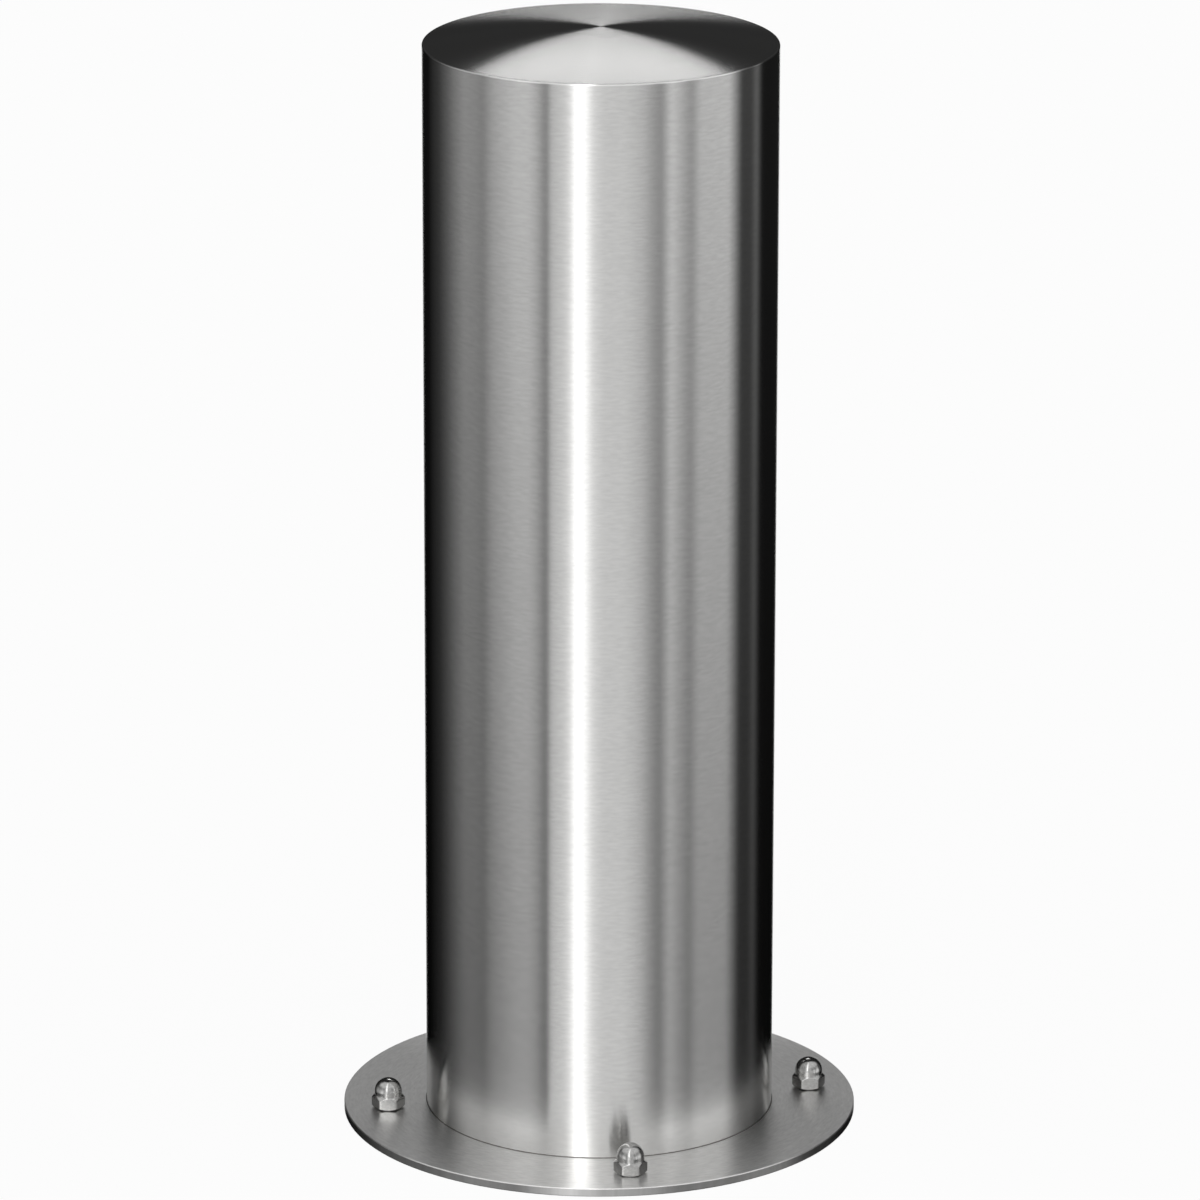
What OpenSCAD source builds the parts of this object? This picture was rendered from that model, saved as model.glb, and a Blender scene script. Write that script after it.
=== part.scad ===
// Round stainless steel bollard.
// A thin-walled column tube stands on a round base flange and is closed by a crowned, turned cap.
// Four domed cap nuts sit on the flange, one over each anchor hole.
// Z is up and z = 0 is the underside of the flange. The anchor holes lie on the X and Y axes.

/* [Column] */
// Outside diameter of the column tube
tube_d = 203; // [150:1:260]
// Wall thickness of the column tube
tube_wall = 2; // [1.5:0.5:4]
// Height of the tube's top end above the ground
column_h = 639.5; // [400:0.5:1100]

/* [Cap] */
// Rise of the crown's middle above the tube's top end
crown_rise = 10.5; // [7:0.5:16]
// Radius of the rounded shoulder between the tube and the crown
shoulder_r = 1; // [0.5:0.5:4]
// Angle that the shoulder's arc turns through before the crown cuts across it
shoulder_turn = 60; // [50:5:65]
// Thickness of the cap's crown
cap_t = 3; // [2:0.5:5]
// Thickness of the spigot ring that centres the cap in the tube
spigot_t = 2; // [1.5:0.5:4]
// Depth that the spigot ring reaches into the tube
spigot_depth = 8; // [4:1:20]
// Gap left all round between the spigot ring and the tube
spigot_clearance = 0.2; // [0.1:0.1:0.5]

/* [Base flange] */
// Thickness of the flange plate
flange_t = 5; // [4:0.5:12]
// Plate left outside the anchor holes, from the bolt circle to the rim
flange_margin = 25; // [18:1:40]
// Size of the small broken edge round the plate and its holes
edge_break = 0.5; // [0.3:0.1:1]

/* [Anchor holes] */
// Distance from the tube's outside to the middle of each anchor hole
anchor_offset = 23.5; // [18:0.5:40]
// Diameter of the anchor holes, which clear an M10 stud
anchor_hole_d = 11; // [10.5:0.5:13]

/* [Cap nuts] */
// Width of the hexagon across its flats
nut_flats = 17; // [16:0.5:19]
// Height of the hexagon
hex_h = 8; // [7:0.5:10]
// Step from the hexagon's flats in to the dome
dome_step = 0.5; // [0.3:0.1:1]
// Height of the short straight neck under the dome
neck_h = 2; // [1:0.5:4]
// Step from the hexagon's flats in to the bearing face
bearing_step = 0.9; // [0.5:0.1:1.5]
// Diameter of the bore, at the crests of the M10 thread
thread_bore_d = 8.5; // [8:0.1:9]
// Diameter of the countersink at the bore's mouth
countersink_d = 10.6; // [10.2:0.1:12]
// Metal left in the dome above the point of the bore
dome_wall = 2.5; // [1.5:0.5:4]
// Angle that each nut came tight at: front, right, back, left
nut_turns = [-8.5, -4, 14, -9]; // [-30:0.5:30]

/* [Hidden] */
$fn = 96;

front = 0;
right = 1;
back = 2;
left = 3;
quarter_turn = 90;

tube_r = tube_d / 2;
tube_inner_r = tube_r - tube_wall;
bolt_circle_r = tube_r + anchor_offset;
flange_r = bolt_circle_r + flange_margin;

// The crown is part of a sphere that passes through the upper end of the shoulder's arc.
shoulder_x = tube_r - shoulder_r;
crown_edge = [shoulder_x, 0] + shoulder_r * [cos(shoulder_turn), sin(shoulder_turn)];
crown_over_edge = crown_rise - crown_edge.y;
crown_r = (pow(crown_edge.x, 2) + pow(crown_over_edge, 2)) / (2 * crown_over_edge);
crown_centre_drop = crown_r - crown_rise;
spigot_outer_r = tube_inner_r - spigot_clearance;
spigot_inner_r = spigot_outer_r - spigot_t;

nut_flat_r = nut_flats / 2;
nut_corner_r = nut_flat_r / cos(30);
dome_r = nut_flat_r - dome_step;
dome_centre_z = hex_h + neck_h;
nut_h = dome_centre_z + dome_r;
bearing_r = nut_flat_r - bearing_step;
bearing_chamfer = 30;
drill_point = 118;
bore_r = thread_bore_d / 2;
bore_tip_h = bore_r / tan(drill_point / 2);
bore_depth = nut_h - dome_wall - bore_tip_h;
countersink_r = countersink_d / 2;
countersink_h = countersink_r - bore_r;

// A cut runs this far past the face it opens
past = 1;

bright_steel = [0.80, 0.80, 0.79];
brushed_steel = [0.68, 0.68, 0.67];
turned_steel = [0.74, 0.74, 0.73];
nut_steel = [0.60, 0.60, 0.59];

// Column: a plain tube from the flange's top face to the cap's seat
module column_tube() {
    color(brushed_steel)
        translate([0, 0, flange_t])
            rotate_extrude()
                translate([tube_inner_r, 0])
                    square([tube_wall, column_h - flange_t]);
}

// Half section of the cap's outside, with height 0 at the tube's top end
module crown_outline() {
    intersection() {
        translate([0, -crown_centre_drop])
            circle(r = crown_r);
        union() {
            square([shoulder_x, crown_rise + past]);
            intersection() {
                translate([shoulder_x, 0])
                    circle(r = shoulder_r);
                square(tube_r + past);
            }
        }
    }
}

// Half section of the cap: an even crown with a spigot ring below it
module cap_section() {
    difference() {
        union() {
            crown_outline();
            translate([0, -spigot_depth])
                square([spigot_outer_r, spigot_depth]);
        }
        intersection() {
            translate([0, -crown_centre_drop])
                circle(r = crown_r - cap_t);
            translate([-past, -spigot_depth - past])
                square([spigot_inner_r + past, spigot_depth + crown_rise + past]);
        }
    }
}

// Cap: turned crown that seats on the tube's end and is centred by its spigot
module top_cap() {
    color(turned_steel)
        translate([0, 0, column_h])
            rotate_extrude()
                cap_section();
}

// Moves a piece made at the origin to one of the anchor holes
module at_anchor(index) {
    rotate(index * quarter_turn)
        translate([0, -bolt_circle_r, 0])
            rotate(-index * quarter_turn)
                children();
}

// One anchor hole, with both of its edges broken
module anchor_hole() {
    hole_r = anchor_hole_d / 2;
    rotate_extrude()
        polygon([
            [0, -past],
            [hole_r + edge_break + past, -past],
            [hole_r, edge_break],
            [hole_r, flange_t - edge_break],
            [hole_r + edge_break + past, flange_t + past],
            [0, flange_t + past]
        ]);
}

// Flange: a round plate with broken edges and an anchor hole under each nut
module base_flange() {
    color(bright_steel)
        difference() {
            rotate_extrude()
                polygon([
                    [0, 0],
                    [flange_r - edge_break, 0],
                    [flange_r, edge_break],
                    [flange_r, flange_t - edge_break],
                    [flange_r - edge_break, flange_t],
                    [0, flange_t]
                ]);
            for (index = [front, right, back, left])
                at_anchor(index) anchor_hole();
        }
}

// Half section that trims the hexagon: a bearing face below and a steep chamfer up to the neck
module hexagon_trim() {
    reach = nut_corner_r + past;
    polygon([
        [0, 0],
        [bearing_r, 0],
        [reach, (reach - bearing_r) * tan(bearing_chamfer)],
        [reach, hex_h - (reach - dome_r)],
        [dome_r, hex_h],
        [0, hex_h]
    ]);
}

// Half section of the dome and its neck, which is rooted halfway down the hexagon
module dome_outline() {
    translate([0, hex_h / 2])
        square([dome_r, hex_h / 2 + neck_h]);
    intersection() {
        translate([0, dome_centre_z])
            circle(r = dome_r);
        translate([0, dome_centre_z])
            square(2 * dome_r);
    }
}

// Half section of the blind bore, countersunk at its mouth and pointed by the drill
module bore_outline() {
    polygon([
        [0, -past],
        [countersink_r + past, -past],
        [bore_r, countersink_h],
        [bore_r, bore_depth],
        [0, bore_depth + bore_tip_h]
    ]);
}

// Domed cap nut, standing on its bearing face
module cap_nut(turn) {
    rotate(turn)
        difference() {
            union() {
                intersection() {
                    rotate(quarter_turn / 3)
                        cylinder(r = nut_corner_r, h = hex_h, $fn = 6);
                    rotate_extrude() hexagon_trim();
                }
                rotate_extrude() dome_outline();
            }
            rotate_extrude() bore_outline();
        }
}

// Nut seated on the flange over one of the anchor holes
module seated_nut(index) {
    color(nut_steel)
        translate([0, 0, flange_t])
            at_anchor(index) cap_nut(nut_turns[index]);
}

column_tube();
top_cap();
base_flange();
seated_nut(front);  // cap_nut_front
seated_nut(right);  // cap_nut_right
seated_nut(back);  // cap_nut_back
seated_nut(left);  // cap_nut_left
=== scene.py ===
# %% [markdown]
# # A round stainless steel bollard
# The bollard is a steel tube on a round foot plate, with a turned lid and four domed cap nuts.
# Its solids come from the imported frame, so every size and place here is already right.
# This lesson builds the finer forms that carry highlights, the steel finishes and the studio they mirror.

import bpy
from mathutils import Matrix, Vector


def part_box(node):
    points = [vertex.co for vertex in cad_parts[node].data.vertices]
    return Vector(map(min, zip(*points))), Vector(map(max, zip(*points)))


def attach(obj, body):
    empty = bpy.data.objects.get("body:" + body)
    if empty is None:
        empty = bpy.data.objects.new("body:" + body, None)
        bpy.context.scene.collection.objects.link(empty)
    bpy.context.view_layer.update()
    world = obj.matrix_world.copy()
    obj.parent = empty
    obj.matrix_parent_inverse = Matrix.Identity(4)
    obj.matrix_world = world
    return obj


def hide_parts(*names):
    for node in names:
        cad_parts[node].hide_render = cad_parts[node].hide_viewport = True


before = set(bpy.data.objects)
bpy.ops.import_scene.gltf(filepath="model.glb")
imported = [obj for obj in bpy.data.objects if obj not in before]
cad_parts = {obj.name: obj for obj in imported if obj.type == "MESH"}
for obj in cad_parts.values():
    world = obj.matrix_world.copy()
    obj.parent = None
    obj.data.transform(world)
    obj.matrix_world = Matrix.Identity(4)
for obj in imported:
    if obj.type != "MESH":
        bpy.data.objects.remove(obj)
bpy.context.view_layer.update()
print("solids:", ", ".join(sorted(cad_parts)))

# %% Blender's own tools, and millimetres in metres
import math

import bmesh
import bpy
from mathutils import Euler, Matrix

MM = 0.001
scene = bpy.context.scene

# %% [markdown]
# ## Camera
# The photograph was taken from in front and a little above, with the front nut just right of the middle.
# A long lens from far off keeps the tube's sides almost parallel. A short lens close up would spread them.

# %% Put the camera where the photographer stood
CAMERA_TURN = math.radians(-8.3)
CAMERA_REACH = 4.4
CAMERA_HEIGHT = 1.6635
CAMERA_DIP = math.radians(17.09)
CAMERA_ROLL = math.radians(0.1)
CAMERA_LENS = 239.0
SENSOR_WIDTH = 36.0

camera_data = bpy.data.cameras.new("studio_camera")
camera_data.lens = CAMERA_LENS
camera_data.sensor_width = SENSOR_WIDTH
camera = bpy.data.objects.new("studio_camera", camera_data)
scene.collection.objects.link(camera)
camera.location = (
    CAMERA_REACH * math.sin(CAMERA_TURN),
    -CAMERA_REACH * math.cos(CAMERA_TURN),
    CAMERA_HEIGHT,
)
level_view = Euler((math.pi / 2 - CAMERA_DIP, 0.0, CAMERA_TURN)).to_matrix()
camera.rotation_euler = (level_view @ Matrix.Rotation(CAMERA_ROLL, 3, "Z")).to_euler()
scene.camera = camera
print("camera at", [round(x, 3) for x in camera.location])

# %% [markdown]
# ## Floor
# A plain pale floor carries the bollard. It glows, as a bright studio floor does, so its shadow stays faint.
# Metal shows only what it mirrors. The floor is hidden from reflections, and the studio walls do that job.

# %% Helpers that add a node and start a material
def add_node(tree, kind, **settings):
    node = tree.nodes.new(kind)
    for name, value in settings.items():
        setattr(node, name, value)
    return node


def new_material(name):
    material = bpy.data.materials.new(name)
    material.use_nodes = True
    tree = material.node_tree
    tree.nodes.clear()
    return material, tree


# %% Lay the floor
FLOOR_HALF = 12.0
FLOOR_WHITE = (0.86, 0.86, 0.86, 1.0)
FLOOR_GLOW = 0.95

floor_mesh = bpy.data.meshes.new("studio_floor")
corners = [(x * FLOOR_HALF, y * FLOOR_HALF, 0.0) for x, y in ((-1, -1), (1, -1), (1, 1), (-1, 1))]
floor_mesh.from_pydata(corners, [], [(0, 1, 2, 3)])
floor = bpy.data.objects.new("studio_floor", floor_mesh)
scene.collection.objects.link(floor)
floor.visible_glossy = False

floor_paint, tree = new_material("pale_floor")
matt = add_node(tree, "ShaderNodeBsdfDiffuse")
matt.inputs["Color"].default_value = FLOOR_WHITE
glow = add_node(tree, "ShaderNodeEmission")
blend = add_node(tree, "ShaderNodeMixShader")
blend.inputs["Fac"].default_value = FLOOR_GLOW
surface = add_node(tree, "ShaderNodeOutputMaterial")
tree.links.new(matt.outputs["BSDF"], blend.inputs[1])
tree.links.new(glow.outputs["Emission"], blend.inputs[2])
tree.links.new(blend.outputs["Shader"], surface.inputs["Surface"])
floor_mesh.materials.append(floor_paint)
print("floor:", 2 * FLOOR_HALF, "m square")

# %% [markdown]
# ## Studio light
# Brushed steel is a picture of the room round it, so the studio is built as tall soft panels, side by side.
# Each pair below is a direction round the column, as seen from the camera, and how bright the wall is there.
# A colour ramp holds the whole round in one node, and its values can be read like a lighting plan.

# %% The wall of panels: degrees to the right of the camera, brightness
PANEL_WALL = [
    (-146, 0.01), (-127, 0.10), (-116, 0.27), (-98, 0.73), (-88, 0.70), (-81, 0.60), (-73, 1.02),
    (-56, 1.50), (-47, 1.56), (-41, 1.22), (-37, 0.80), (-34.5, 0.62), (-32.5, 0.80), (-24, 0.95),
    (-20, 1.18), (-15.5, 2.10), (-10.5, 1.80), (-5, 1.12), (2, 0.93), (20, 0.90), (28, 0.95),
    (39, 0.74), (46, 1.70), (54, 1.16), (60, 0.84), (67, 1.40), (90, 1.42), (97, 0.60),
    (102, 0.12), (113, 0.13), (119, 0.32), (126, 0.02),
]
BRIGHTEST = 4.0
FULL_TURN = 360.0

world = bpy.data.worlds.new("panel_studio")
scene.world = world
world.use_nodes = True
sky = world.node_tree
sky.nodes.clear()


def sky_math(operation, first, second=None):
    node = add_node(sky, "ShaderNodeMath", operation=operation)
    for socket, value in zip(node.inputs, (first, second)):
        if isinstance(value, (int, float)):
            socket.default_value = value
        elif value is not None:
            sky.links.new(value, socket)
    return node.outputs["Value"]


def sky_dot(vector, axis):
    node = add_node(sky, "ShaderNodeVectorMath", operation="DOT_PRODUCT")
    sky.links.new(vector, node.inputs[0])
    node.inputs[1].default_value = axis
    return node.outputs["Value"]


# %% Where a ray points: degrees round from the camera, and degrees above the horizon
toward_camera = (math.sin(CAMERA_TURN), -math.cos(CAMERA_TURN), 0.0)
camera_right = (math.cos(CAMERA_TURN), math.sin(CAMERA_TURN), 0.0)
ray = add_node(sky, "ShaderNodeTexCoord").outputs["Generated"]
turn = sky_math("ARCTAN2", sky_dot(ray, camera_right), sky_dot(ray, toward_camera))
turn_degrees = sky_math("MULTIPLY", turn, math.degrees(1.0))
rise = sky_math("ARCSINE", sky_dot(ray, (0.0, 0.0, 1.0)))
rise_degrees = sky_math("MULTIPLY", rise, math.degrees(1.0))


def sky_step(value, start, end, low=0.0, high=1.0):
    node = add_node(sky, "ShaderNodeMapRange", interpolation_type="SMOOTHSTEP")
    for socket, setting in zip(node.inputs, (value, start, end, low, high)):
        if isinstance(setting, (int, float)):
            socket.default_value = setting
        else:
            sky.links.new(setting, socket)
    return node.outputs["Result"]


# %% The panel wall as a colour ramp
ramp = add_node(sky, "ShaderNodeValToRGB")
ramp.color_ramp.interpolation = "LINEAR"
stops = ramp.color_ramp.elements
while len(stops) < len(PANEL_WALL):
    stops.new(1.0)
for stop, (degrees, brightness) in zip(stops, PANEL_WALL):
    stop.position = degrees / FULL_TURN + 0.5
    stop.color = (brightness / BRIGHTEST,) * 3 + (1.0,)
sky.links.new(sky_math("ADD", sky_math("DIVIDE", turn_degrees, FULL_TURN), 0.5), ramp.inputs["Fac"])
wall = sky_math("MULTIPLY", ramp.outputs["Color"], BRIGHTEST)
print("panels:", len(PANEL_WALL), "stops")

# %% Panels hang from knee to head height, and only the tall strip light runs on to the ceiling
STRIP_SIDE = -32, -36
SOFT_SIDE = 14, 44
PANEL_FOOT = -9, -20
PANEL_FOOT_DARK = 0.97
PANEL_HEAD = 0, 22
PANEL_HEAD_DARK = 0.54

left_panels = sky_step(turn_degrees, *STRIP_SIDE)
right_panels = sky_step(turn_degrees, *SOFT_SIDE)
beside = sky_math("ADD", left_panels, right_panels)
foot = sky_step(rise_degrees, *PANEL_FOOT, 0.0, PANEL_FOOT_DARK)
head = sky_step(rise_degrees, *PANEL_HEAD, 0.0, PANEL_HEAD_DARK)
dimmed = sky_math("MULTIPLY", beside, sky_math("ADD", foot, head))
panels_share = sky_math("SUBTRACT", 1.0, dimmed)
hung_wall = sky_math("MULTIPLY", wall, panels_share)

# %% A bright ceiling in front, the strip light's hot upper end, and a low panel for the tube's far side
CEILING = 1.10
CEILING_RISE = 14, 42
CEILING_SIDES = 130, 100
STRIP_LEFT = -21, -17
STRIP_RIGHT = -4, -9
STRIP_END_RISE = 2, 14
STRIP_END = 3.6
DIM_ROOM = 0.035
DIM_ROOM_RISE = 0, 10
BACK_PANEL = 1.2
BACK_PANEL_SIDE = 167, 173
BACK_PANEL_RISE = -4, -10

around = sky_math("ABSOLUTE", turn_degrees)
ceiling = sky_math("MULTIPLY", sky_step(rise_degrees, *CEILING_RISE, 0.0, CEILING),
                   sky_step(around, *CEILING_SIDES))
strip = sky_math("MULTIPLY", sky_step(turn_degrees, *STRIP_LEFT), sky_step(turn_degrees, *STRIP_RIGHT))
strip_end = sky_math("MULTIPLY", strip, sky_step(rise_degrees, *STRIP_END_RISE, 0.0, STRIP_END))
dim_room = sky_step(rise_degrees, *DIM_ROOM_RISE, 0.0, DIM_ROOM)
back_panel = sky_math("MULTIPLY", sky_step(around, *BACK_PANEL_SIDE, 0.0, BACK_PANEL),
                      sky_step(rise_degrees, *BACK_PANEL_RISE))
studio = hung_wall
for panel in (strip_end, ceiling, dim_room, back_panel):
    studio = sky_math("MAXIMUM", studio, panel)
print("ceiling brightness:", CEILING)

# %% A lamp that hangs at so many degrees to the right of the camera, and faces the column
def hang_light(name, degrees, reach, foot, head, width, brightness):
    turn = CAMERA_TURN + math.radians(degrees)
    data = bpy.data.lights.new(name, "AREA")
    data.shape = "ELLIPSE"
    data.size = width
    data.size_y = head - foot
    area = math.pi / 4 * width * (head - foot)
    data.energy = brightness * math.pi * area
    light = bpy.data.objects.new(name, data)
    scene.collection.objects.link(light)
    light.location = (reach * math.sin(turn), -reach * math.cos(turn), (head + foot) / 2)
    light.rotation_euler = (math.pi / 2, 0.0, turn)
    light.visible_camera = False
    light.visible_diffuse = False
    return light


# %% A softbox behind and above: the lid smears it into a fan of light from its middle
softbox = hang_light(
    "back_softbox", degrees=180, reach=1.3, foot=1.36, head=1.72, width=0.66, brightness=3.8)
print("softbox at", [round(x, 2) for x in softbox.location])

# %% Two dim lamps behind, flagged off so that they light the foot plate and nothing else
low_lamp = hang_light(
    "plate_low_lamp", degrees=180, reach=1.3, foot=-0.4, head=1.1, width=1.7, brightness=0.23)
high_lamp = hang_light(
    "plate_high_lamp", degrees=180, reach=1.3, foot=1.3, head=2.7, width=1.8, brightness=1.3)
lit_plate = bpy.data.collections.new("lit_plate")
lit_plate.objects.link(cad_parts["base_flange"])
for lamp in (low_lamp, high_lamp):
    lamp.light_linking.receiver_collection = lit_plate

# %% The camera sees plain white behind the bollard, and everything else sees the studio
BACKDROP = 1.0

panels = add_node(sky, "ShaderNodeBackground")
sky.links.new(studio, panels.inputs["Strength"])
backdrop = add_node(sky, "ShaderNodeBackground")
backdrop.inputs["Strength"].default_value = BACKDROP
which = add_node(sky, "ShaderNodeMixShader")
sky.links.new(add_node(sky, "ShaderNodeLightPath").outputs["Is Camera Ray"], which.inputs["Fac"])
sky.links.new(panels.outputs["Background"], which.inputs[1])
sky.links.new(backdrop.outputs["Background"], which.inputs[2])
sky.links.new(which.outputs["Shader"], add_node(sky, "ShaderNodeOutputWorld").inputs["Surface"])
scene.view_settings.view_transform = "Standard"
print("backdrop brightness:", BACKDROP)

# %% [markdown]
# ## Steel finishes
# Brushing leaves thousands of parallel scratches. They mirror sharply along the scratch and smear across it.
# The shader's anisotropy does the smear. A noise stretched along the scratches draws the few that show.
# Tube, lid and plate share that noise as one node group, with coordinates that follow their own scratches.

# %% Scratches as a node group
def group_socket(group, name, direction, kind="NodeSocketFloat", value=None):
    socket = group.interface.new_socket(name=name, in_out=direction, socket_type=kind)
    if value is not None:
        socket.default_value = value


scratches = bpy.data.node_groups.new("brushing_scratches", "ShaderNodeTree")
group_socket(scratches, "Along and across", "INPUT", "NodeSocketVector")
group_socket(scratches, "Contrast", "INPUT", value=0.06)
group_socket(scratches, "Cloudiness", "INPUT", value=0.03)
group_socket(scratches, "Steel", "INPUT", "NodeSocketColor", (0.7, 0.7, 0.69, 1.0))
group_socket(scratches, "Steel colour", "OUTPUT", "NodeSocketColor")
group_socket(scratches, "Lines", "OUTPUT")
group_in = add_node(scratches, "NodeGroupInput")
group_out = add_node(scratches, "NodeGroupOutput")

lines = add_node(scratches, "ShaderNodeTexNoise", noise_dimensions="3D")
lines.inputs["Scale"].default_value = 1.0
lines.inputs["Detail"].default_value = 4.0
lines.inputs["Roughness"].default_value = 0.65
clouds = add_node(scratches, "ShaderNodeTexNoise", noise_dimensions="3D")
clouds.inputs["Scale"].default_value = 0.09
clouds.inputs["Detail"].default_value = 2.0
scratches.links.new(group_in.outputs["Along and across"], lines.inputs["Vector"])
scratches.links.new(group_in.outputs["Along and across"], clouds.inputs["Vector"])


# %% Lines and clouds lighten or darken the steel by a few percent
def group_math(group, operation, first, second):
    node = add_node(group, "ShaderNodeMath", operation=operation)
    for socket, value in zip(node.inputs, (first, second)):
        if isinstance(value, (int, float)):
            socket.default_value = value
        else:
            group.links.new(value, socket)
    return node.outputs["Value"]


line_part = group_math(scratches, "MULTIPLY",
                       group_math(scratches, "SUBTRACT", lines.outputs["Fac"], 0.5),
                       group_in.outputs["Contrast"])
cloud_part = group_math(scratches, "MULTIPLY",
                        group_math(scratches, "SUBTRACT", clouds.outputs["Fac"], 0.5),
                        group_in.outputs["Cloudiness"])
shade = group_math(scratches, "ADD", group_math(scratches, "ADD", line_part, cloud_part), 1.0)
shaded = add_node(scratches, "ShaderNodeVectorMath", operation="SCALE")
scratches.links.new(group_in.outputs["Steel"], shaded.inputs[0])
scratches.links.new(shade, shaded.inputs["Scale"])
scratches.links.new(shaded.outputs["Vector"], group_out.inputs["Steel colour"])
scratches.links.new(lines.outputs["Fac"], group_out.inputs["Lines"])
print("node group:", scratches.name)


# %% A brushed steel with its own scratch direction
def brushed_steel(name, steel, contrast, cloudiness, gloss, scratch_depth, one_way=1.0):
    material, tree = new_material(name)
    group = add_node(tree, "ShaderNodeGroup", node_tree=scratches)
    group.inputs["Steel"].default_value = steel + (1.0,)
    group.inputs["Contrast"].default_value = contrast
    group.inputs["Cloudiness"].default_value = cloudiness
    bsdf = add_node(tree, "ShaderNodeBsdfPrincipled")
    bsdf.inputs["Metallic"].default_value = 1.0
    bsdf.inputs["Anisotropic"].default_value = one_way
    bsdf.inputs["Anisotropic Rotation"].default_value = 0.25
    spread = add_node(tree, "ShaderNodeMapRange")
    spread.inputs["To Min"].default_value, spread.inputs["To Max"].default_value = gloss
    bump = add_node(tree, "ShaderNodeBump")
    bump.inputs["Strength"].default_value = 1.0
    bump.inputs["Distance"].default_value = scratch_depth
    tree.links.new(group.outputs["Steel colour"], bsdf.inputs["Base Color"])
    tree.links.new(group.outputs["Lines"], spread.inputs["Value"])
    tree.links.new(spread.outputs["Result"], bsdf.inputs["Roughness"])
    tree.links.new(group.outputs["Lines"], bump.inputs["Height"])
    tree.links.new(bump.outputs["Normal"], bsdf.inputs["Normal"])
    surface = add_node(tree, "ShaderNodeOutputMaterial")
    tree.links.new(bsdf.outputs["BSDF"], surface.inputs["Surface"])
    return material, tree, group, bsdf


def object_position(tree):
    return add_node(tree, "ShaderNodeTexCoord").outputs["Object"]


def round_the_axis(tree, bsdf):
    tangent = add_node(tree, "ShaderNodeTangent", direction_type="RADIAL", axis="Z")
    tree.links.new(tangent.outputs["Tangent"], bsdf.inputs["Tangent"])


def stretched(tree, vector, scale):
    node = add_node(tree, "ShaderNodeVectorMath", operation="MULTIPLY")
    tree.links.new(vector, node.inputs[0])
    node.inputs[1].default_value = scale
    return node.outputs["Vector"]


# %% [markdown]
# ### Column
# The tube is ground while it turns, so its scratches run round it. The noise is long round it and fine in z.

# %% Column finish
SCRATCH_LENGTH = 150.0
SCRATCH_FINE = 650.0

column_steel, tree, group, bsdf = brushed_steel(
    "ground_column_steel", steel=(0.72, 0.717, 0.708), contrast=0.26, cloudiness=0.05,
    gloss=(0.194, 0.196), scratch_depth=5e-8)
round_the_axis(tree, bsdf)
tree.links.new(stretched(tree, object_position(tree), (SCRATCH_LENGTH, SCRATCH_LENGTH, SCRATCH_FINE)),
               group.inputs["Along and across"])
print("finish:", column_steel.name)

# %% [markdown]
# ### Lid
# The lid is turned on a lathe, so its scratches are rings. The noise is fine with distance from the middle.

# %% Rings: x and y stay, and the distance from the middle takes the place of z
def turned_rings(tree, group, bsdf):
    round_the_axis(tree, bsdf)
    place = add_node(tree, "ShaderNodeSeparateXYZ")
    tree.links.new(object_position(tree), place.inputs["Vector"])
    flat_place = add_node(tree, "ShaderNodeCombineXYZ")
    ring_place = add_node(tree, "ShaderNodeCombineXYZ")
    for axis in "XY":
        tree.links.new(place.outputs[axis], flat_place.inputs[axis])
        tree.links.new(place.outputs[axis], ring_place.inputs[axis])
    from_middle = add_node(tree, "ShaderNodeVectorMath", operation="LENGTH")
    tree.links.new(flat_place.outputs["Vector"], from_middle.inputs[0])
    tree.links.new(from_middle.outputs["Value"], ring_place.inputs["Z"])
    along_and_across = (SCRATCH_LENGTH, SCRATCH_LENGTH, SCRATCH_FINE)
    scratch_place = stretched(tree, ring_place.outputs["Vector"], along_and_across)
    tree.links.new(scratch_place, group.inputs["Along and across"])


# %% Lid finish, and its rim: filed smoother, with its steel painted brighter than the lid's as a painted highlight that lifts the glint line
lid_steel, tree, group, bsdf = brushed_steel(
    "turned_lid_steel", steel=(0.70, 0.697, 0.688), contrast=0.09, cloudiness=0.03,
    gloss=(0.244, 0.246), scratch_depth=5e-8)
turned_rings(tree, group, bsdf)
rim_glint_steel, tree, group, bsdf = brushed_steel(
    "filed_rim_painted_glint_steel", steel=(0.95, 0.948, 0.94), contrast=0.05, cloudiness=0.03,
    gloss=(0.20, 0.22), scratch_depth=4e-7)
turned_rings(tree, group, bsdf)
print("finishes:", lid_steel.name, rim_glint_steel.name)

# %% [markdown]
# ### Foot plate
# The plate was ground on a turntable after the tube was welded on, so its scratches are rings as well.
# In front they smear the tube's mirror image down to the rim. Beside the tube they smear it outwards.

# %% Plate finish, with painted shade: every face that does not face up, rim, bores and underside, is darker
PLATE_STEEL = (0.88, 0.877, 0.866)
SIDEWAYS_SHADE = 0.55

plate_steel, tree, group, bsdf = brushed_steel(
    "turned_plate_steel", steel=PLATE_STEEL, contrast=0.50, cloudiness=0.08,
    gloss=(0.325, 0.335), scratch_depth=3e-7, one_way=0.75)
turned_rings(tree, group, bsdf)
# Painted shade: the steel colour falls to a little over half on faces turned away from up.
way_up = add_node(tree, "ShaderNodeSeparateXYZ")
tree.links.new(add_node(tree, "ShaderNodeNewGeometry").outputs["Normal"], way_up.inputs["Vector"])
sideways_shade = add_node(tree, "ShaderNodeMapRange")
sideways_shade.inputs["From Min"].default_value = 0.2
sideways_shade.inputs["From Max"].default_value = 0.6
sideways_shade.inputs["To Min"].default_value = SIDEWAYS_SHADE
tree.links.new(way_up.outputs["Z"], sideways_shade.inputs["Value"])
plate_shaded_tone = add_node(tree, "ShaderNodeVectorMath", operation="SCALE")
plate_shaded_tone.inputs[0].default_value = PLATE_STEEL
tree.links.new(sideways_shade.outputs["Result"], plate_shaded_tone.inputs["Scale"])
tree.links.new(plate_shaded_tone.outputs["Vector"], group.inputs["Steel"])
print("finish:", plate_steel.name)

# %% [markdown]
# ### Cap nuts
# The nuts are cold formed and only half bright. A fine dimpled bump breaks up their reflections.

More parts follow.
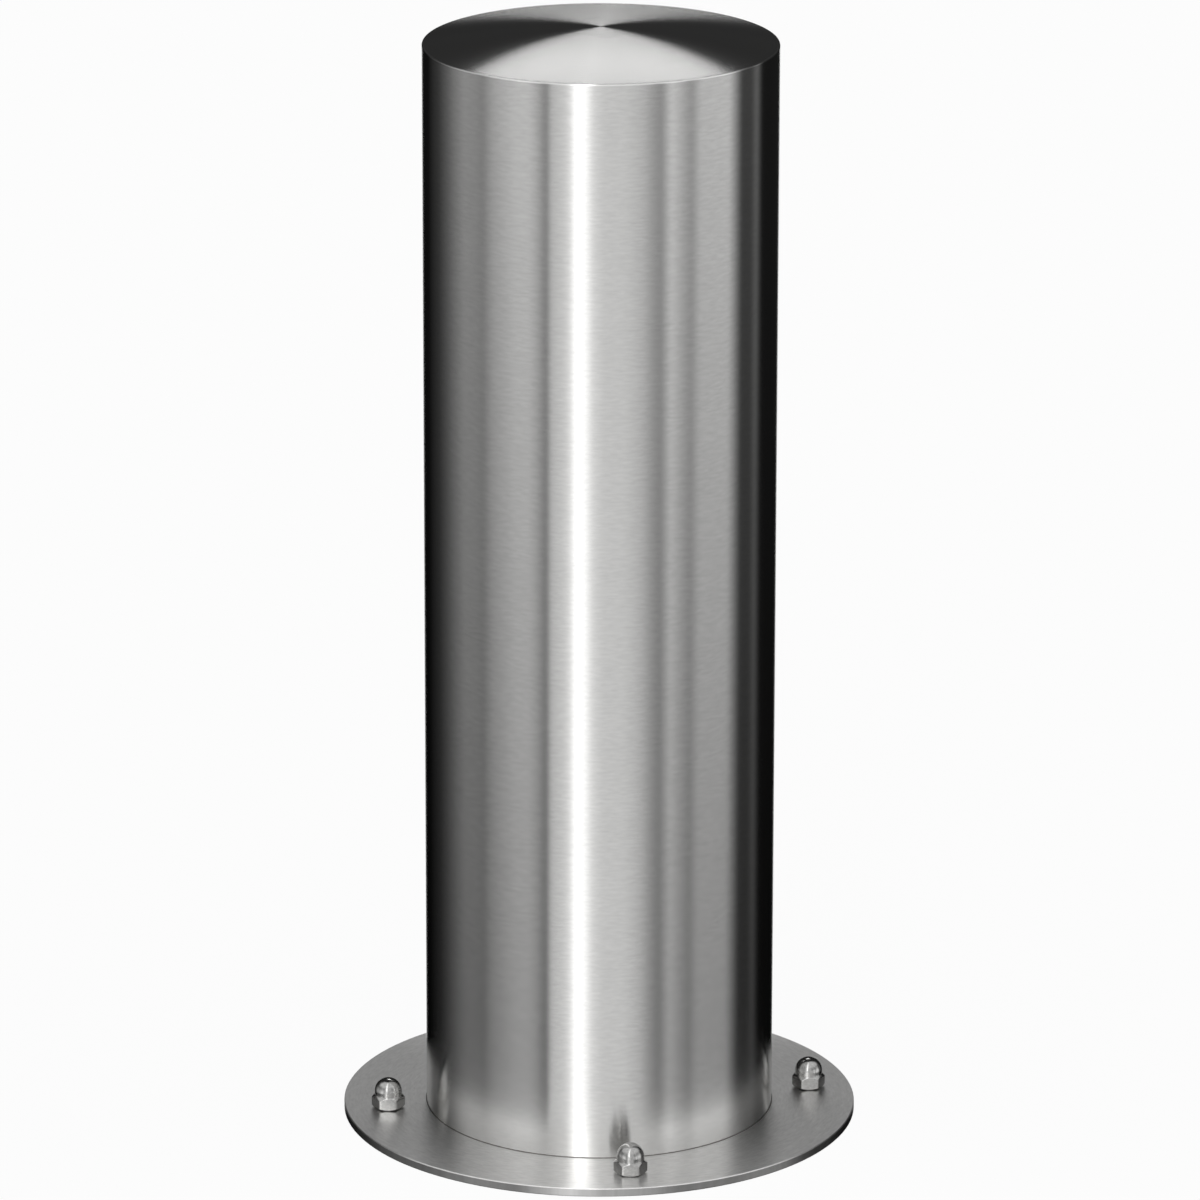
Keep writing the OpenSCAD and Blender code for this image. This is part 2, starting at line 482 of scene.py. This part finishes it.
# %% Nut finish
nut_steel, tree = new_material("formed_nut_steel")
bsdf = add_node(tree, "ShaderNodeBsdfPrincipled")
bsdf.inputs["Metallic"].default_value = 1.0
dimples = add_node(tree, "ShaderNodeTexNoise", noise_dimensions="3D")
dimples.inputs["Scale"].default_value = 800.0
dimples.inputs["Detail"].default_value = 3.0
tree.links.new(object_position(tree), dimples.inputs["Vector"])
nut_tone = add_node(tree, "ShaderNodeMix", data_type="RGBA")
nut_tone.inputs["A"].default_value = (0.32, 0.318, 0.312, 1.0)
nut_tone.inputs["B"].default_value = (0.60, 0.597, 0.588, 1.0)
tree.links.new(dimples.outputs["Fac"], nut_tone.inputs["Factor"])
tree.links.new(nut_tone.outputs["Result"], bsdf.inputs["Base Color"])
nut_gloss = add_node(tree, "ShaderNodeMapRange")
nut_gloss.inputs["To Min"].default_value = 0.12
nut_gloss.inputs["To Max"].default_value = 0.22
tree.links.new(dimples.outputs["Fac"], nut_gloss.inputs["Value"])
tree.links.new(nut_gloss.outputs["Result"], bsdf.inputs["Roughness"])
dents = add_node(tree, "ShaderNodeBump")
dents.inputs["Strength"].default_value = 1.0
dents.inputs["Distance"].default_value = 1.4e-5
tree.links.new(dimples.outputs["Fac"], dents.inputs["Height"])
tree.links.new(dents.outputs["Normal"], bsdf.inputs["Normal"])
surface = add_node(tree, "ShaderNodeOutputMaterial")
tree.links.new(bsdf.outputs["BSDF"], surface.inputs["Surface"])
print("finish:", nut_steel.name)

# %% [markdown]
# ## Spinning a profile
# Every piece here was made on a lathe or could have been, so one helper spins a half section round an axis.
# The section may change with the angle, and that is how the same helper makes a hexagon too.

# %% The lathe
SHARP_ANGLE = math.radians(35)


def spin(name, profile_at, angles, centre=(0.0, 0.0, 0.0)):
    bm = bmesh.new()
    rings = []
    profiles = [profile_at(angle) for angle in angles]
    for row in range(len(profiles[0])):
        if all(profile[row][0] == 0 for profile in profiles):
            tip = bm.verts.new((centre[0], centre[1], centre[2] + profiles[0][row][1] * MM))
            rings.append([tip] * len(angles))
            continue
        ring = []
        for angle, profile in zip(angles, profiles):
            radius, height = profile[row]
            ring.append(bm.verts.new((centre[0] + radius * MM * math.cos(angle),
                                      centre[1] + radius * MM * math.sin(angle),
                                      centre[2] + height * MM)))
        rings.append(ring)
    for low, high in zip(rings, rings[1:]):
        for here in range(len(angles)):
            there = (here + 1) % len(angles)
            corners = dict.fromkeys((low[here], low[there], high[there], high[here]))
            bm.faces.new(corners)
    mesh = bpy.data.meshes.new(name)
    bmesh.ops.recalc_face_normals(bm, faces=bm.faces)
    bm.to_mesh(mesh)
    bm.free()
    mesh.shade_smooth()
    mesh.set_sharp_from_angle(angle=SHARP_ANGLE)
    piece = bpy.data.objects.new(name, mesh)
    scene.collection.objects.link(piece)
    return piece


def even_angles(count):
    return [2 * math.pi * step / count for step in range(count)]


def arc(centre, radius, start, end, steps):
    angles = [math.radians(start + (end - start) * step / steps) for step in range(steps + 1)]
    return [(centre[0] + radius * math.cos(a), centre[1] + radius * math.sin(a)) for a in angles]


# %% [markdown]
# ## Lid
# The real lid is a shallow crown with a small radius filed round its edge, which catches a bright line.
# The solid meets the same two curves at a fine corner, so the lid is spun again with that corner eased away.

# %% Spin the lid
lid_low, lid_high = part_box("top_cap")
tube_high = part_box("column_tube")[1]
TUBE_R = tube_high[0] / MM
TUBE_TOP = tube_high[2] / MM
CROWN_TOP = lid_high[2] / MM
SPIGOT_FOOT = lid_low[2] / MM
SHOULDER_R = 1.0
SPIGOT_OUT, SPIGOT_IN = 99.3, 97.3
LID_THICK = 3.0
LID_STEPS = 288
CROWN_STEPS = 40
UNDER_STEPS = 24
SHOULDER_STEPS = 10
ON_AXIS = 1e-6

shoulder_in = TUBE_R - SHOULDER_R
crown_span = CROWN_TOP - TUBE_TOP - SHOULDER_R
crown_centre = TUBE_TOP - (shoulder_in ** 2 - crown_span ** 2) / (2 * crown_span)
crown_r = CROWN_TOP - crown_centre
shoulder_turn = math.degrees(math.atan2(TUBE_TOP - crown_centre, shoulder_in))
under_r = crown_r - LID_THICK
under_edge = math.degrees(math.acos(SPIGOT_IN / under_r))
lid_profile = (
    arc((0.0, crown_centre), under_r, 90, under_edge, UNDER_STEPS)
    + [(SPIGOT_IN, SPIGOT_FOOT), (SPIGOT_OUT, SPIGOT_FOOT), (SPIGOT_OUT, TUBE_TOP)]
    + arc((shoulder_in, TUBE_TOP), SHOULDER_R, 0, shoulder_turn, SHOULDER_STEPS)
    + arc((0.0, crown_centre), crown_r, shoulder_turn, 90, CROWN_STEPS)[1:]
)
lid_profile = [(0.0 if radius < ON_AXIS else radius, height) for radius, height in lid_profile]
lid = spin("turned_lid", lambda angle: lid_profile, even_angles(LID_STEPS))
lid.data.materials.append(lid_steel)
lid.data.materials.append(rim_glint_steel)
# The rim faces take the brighter steel, a painted highlight on the filed edge.
for face in lid.data.polygons:
    outside_crown = math.hypot(face.center[0], face.center[1]) > shoulder_in * MM
    face.material_index = int(outside_crown and face.center[2] > TUBE_TOP * MM)
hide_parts("top_cap")
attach(lid, "root")
print("lid crown radius:", round(crown_r, 1), "mm")

# %% [markdown]
# ## Cap nuts
# A domed cap nut is a hexagon with a cut-back top, a short neck and a half ball. Its corners are never sharp.
# Spinning the section and letting the hexagon limit the radius gives every edge its own small rounding.

# %% The hexagon, with its six corners eased
NUT_FLAT = 8.5
CORNER_EASE = 0.6
CORNER_TURN = math.radians(30)
FLAT_TURN = math.atan((NUT_FLAT - CORNER_EASE) * math.tan(CORNER_TURN) / NUT_FLAT)
FLAT_STEPS = 8
CORNER_STEPS = 5


def hexagon_radius(angle):
    side = (angle + CORNER_TURN) % (2 * CORNER_TURN) - CORNER_TURN
    if abs(side) <= FLAT_TURN:
        return NUT_FLAT / math.cos(side)
    reach = (NUT_FLAT - CORNER_EASE) / math.cos(CORNER_TURN)
    off = CORNER_TURN - abs(side)
    return reach * math.cos(off) + math.sqrt(CORNER_EASE ** 2 - (reach * math.sin(off)) ** 2)


def hexagon_angles(turn):
    flat = [FLAT_TURN * (2 * step / FLAT_STEPS - 1) for step in range(FLAT_STEPS + 1)]
    eased_corner = [FLAT_TURN + 2 * (CORNER_TURN - FLAT_TURN) * step / CORNER_STEPS
                    for step in range(1, CORNER_STEPS)]
    return [2 * CORNER_TURN * side + step + turn for side in range(6) for step in flat + eased_corner]


# %% The nut's half section at one angle
HEX_TOP = 8.0
DOME_R = 8.0
NECK_TOP = 10.0
BEARING_R = 7.6
BEARING_CHAMFER = math.radians(30)
BORE_R, MOUTH_R = 4.25, 5.3
BORE_TIP, BORE_END = 15.5, 12.946
EDGE_EASE = 0.35
DOME_STEPS = 16


def eased(points, radius, steps=3):
    out = [points[0]]
    for before, corner, after in zip(points, points[1:], points[2:]):
        back = min(radius, math.dist(before, corner) / 2, math.dist(corner, after) / 2)
        start = [c + (b - c) * back / math.dist(before, corner) for b, c in zip(before, corner)]
        end = [c + (a - c) * back / math.dist(corner, after) for a, c in zip(after, corner)]
        for step in range(steps + 1):
            t = step / steps
            out.append(tuple((1 - t) ** 2 * s + 2 * t * (1 - t) * c + t ** 2 * e
                             for s, c, e in zip(start, corner, end)))
    return out + [points[-1]]


def nut_profile(limit):
    bore = [(0.0, BORE_TIP), (BORE_R, BORE_END), (BORE_R, MOUTH_R - BORE_R), (MOUTH_R, 0.0)]
    under = (limit - BEARING_R) * math.tan(BEARING_CHAMFER)
    above = HEX_TOP - (limit - DOME_R)
    outside = [(BEARING_R, 0.0), (limit, under), (limit, above), (DOME_R, HEX_TOP), (DOME_R, NECK_TOP)]
    dome = arc((0.0, NECK_TOP), DOME_R, 0, 90, DOME_STEPS)[1:-1] + [(0.0, NECK_TOP + DOME_R)]
    return bore + eased(outside, EDGE_EASE) + dome


# %% Spin the four nuts, each turned as far as it came tight
NUT_TURNS = {"front": -8.5, "right": -4.0, "back": 14.0, "left": -9.0}
FLAT_TO_FRONT = -90.0

for side, degrees in NUT_TURNS.items():
    node = "cap_nut_" + side
    low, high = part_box(node)
    seat = ((low[0] + high[0]) / 2, (low[1] + high[1]) / 2, low[2])
    turn = math.radians(degrees + FLAT_TO_FRONT)
    angles = hexagon_angles(turn)
    limits = {angle: hexagon_radius(angle - turn) for angle in angles}
    nut = spin("domed_nut_" + side, lambda angle: nut_profile(limits[angle]), angles, seat)
    nut.data.materials.append(nut_steel)
    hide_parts(node)
    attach(nut, "root")
    print(nut.name, "faces:", len(nut.data.polygons))

# %% [markdown]
# ## Column and foot plate
# The tube and the plate are already right as solids, with true edges, so they only take their finish.
# The weld between them is ground down to a fine bead, which is spun as a small hollow fillet. Its dark steel
# is painted shade in the crease where the tube meets the plate.

# %% Dress the tube and the plate
for node, finish in (("column_tube", column_steel), ("base_flange", plate_steel)):
    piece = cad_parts[node]
    for slot in piece.material_slots:
        slot.material = finish
    print(node, "now wears", finish.name)

# %% [markdown]
# ### Foot weld
# Heat leaves a ground weld a little browner and duller than the sheet beside it. Its much darker steel is
# painted shade for the crease where tube and plate meet.

# %% Weld finish and bead
weld_shade_steel, tree = new_material("ground_weld_painted_shade_steel")
bsdf = add_node(tree, "ShaderNodeBsdfPrincipled")
bsdf.inputs["Metallic"].default_value = 1.0
ripples = add_node(tree, "ShaderNodeTexNoise", noise_dimensions="3D")
ripples.inputs["Scale"].default_value = 380.0
tree.links.new(object_position(tree), ripples.inputs["Vector"])
# Painted shade: the weld's steel is kept far darker than the tube and plate, to darken the crease.
crease_shade_tint = add_node(tree, "ShaderNodeMix", data_type="RGBA")
crease_shade_tint.inputs["A"].default_value = (0.11, 0.103, 0.097, 1.0)
crease_shade_tint.inputs["B"].default_value = (0.22, 0.208, 0.198, 1.0)
tree.links.new(ripples.outputs["Fac"], crease_shade_tint.inputs["Factor"])
tree.links.new(crease_shade_tint.outputs["Result"], bsdf.inputs["Base Color"])
weld_gloss = add_node(tree, "ShaderNodeMapRange")
weld_gloss.inputs["To Min"].default_value = 0.35
weld_gloss.inputs["To Max"].default_value = 0.55
tree.links.new(ripples.outputs["Fac"], weld_gloss.inputs["Value"])
tree.links.new(weld_gloss.outputs["Result"], bsdf.inputs["Roughness"])
surface = add_node(tree, "ShaderNodeOutputMaterial")
tree.links.new(bsdf.outputs["BSDF"], surface.inputs["Surface"])

PLATE_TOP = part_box("base_flange")[1][2] / MM
WELD_LEG = 0.4
INTO_TUBE = 0.3
INTO_PLATE = 0.1
FILLET_STEPS = 5
WELD_STEPS = 240
weld_profile = [(TUBE_R - INTO_TUBE, PLATE_TOP - INTO_PLATE), (TUBE_R + WELD_LEG, PLATE_TOP - INTO_PLATE)]
weld_profile += arc((TUBE_R + WELD_LEG, PLATE_TOP + WELD_LEG), WELD_LEG, 270, 180, FILLET_STEPS)
weld_profile += [(TUBE_R - INTO_TUBE, PLATE_TOP + WELD_LEG)]
weld = spin("foot_weld", lambda angle: weld_profile, even_angles(WELD_STEPS))
weld.data.materials.append(weld_shade_steel)
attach(weld, "root")
print("weld bead:", WELD_LEG, "mm")
